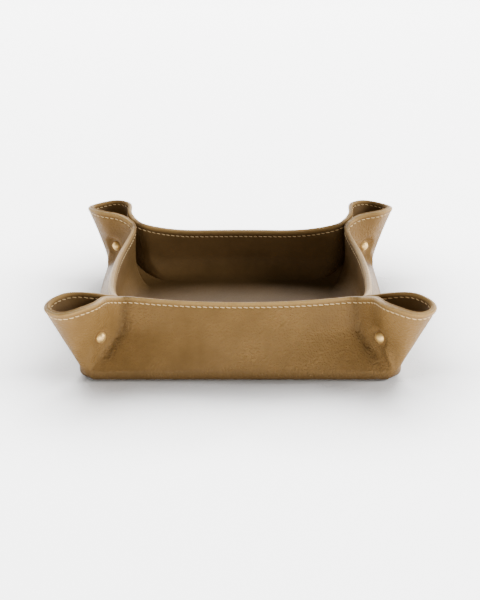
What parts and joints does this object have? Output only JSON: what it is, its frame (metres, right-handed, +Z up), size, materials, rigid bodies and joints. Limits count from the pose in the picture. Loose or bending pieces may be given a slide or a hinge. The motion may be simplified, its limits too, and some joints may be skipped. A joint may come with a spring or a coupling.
{
  "type": "valet tray",
  "caption": "Square leather valet tray with leaning walls, corners pinched into open ears and held by domed rivets, stiff board in the base",
  "frame": {"origin": "on the table, under the middle of the tray", "axes": "+Z up, the front wall faces -Y, the right wall faces +X"},
  "size_m": [0.237, 0.2332, 0.0546],
  "materials": {
    "outer_leather": "satin pebbled leather, olive tan",
    "lining_leather": "smooth satin leather, olive tan",
    "board": "pressed fibre board",
    "rivet_brass": "pale satin brass"
  },
  "bodies": {
    "root": {"outer_leather": "outer_leather", "lining_leather": "lining_leather", "base_board": "board", "rivet_post_front_left": "rivet_brass", "rivet_cap_front_left": "rivet_brass", "rivet_post_front_right": "rivet_brass", "rivet_cap_front_right": "rivet_brass", "rivet_post_rear_left": "rivet_brass", "rivet_cap_rear_left": "rivet_brass", "rivet_post_rear_right": "rivet_brass", "rivet_cap_rear_right": "rivet_brass"}
  },
  "joints": []
}
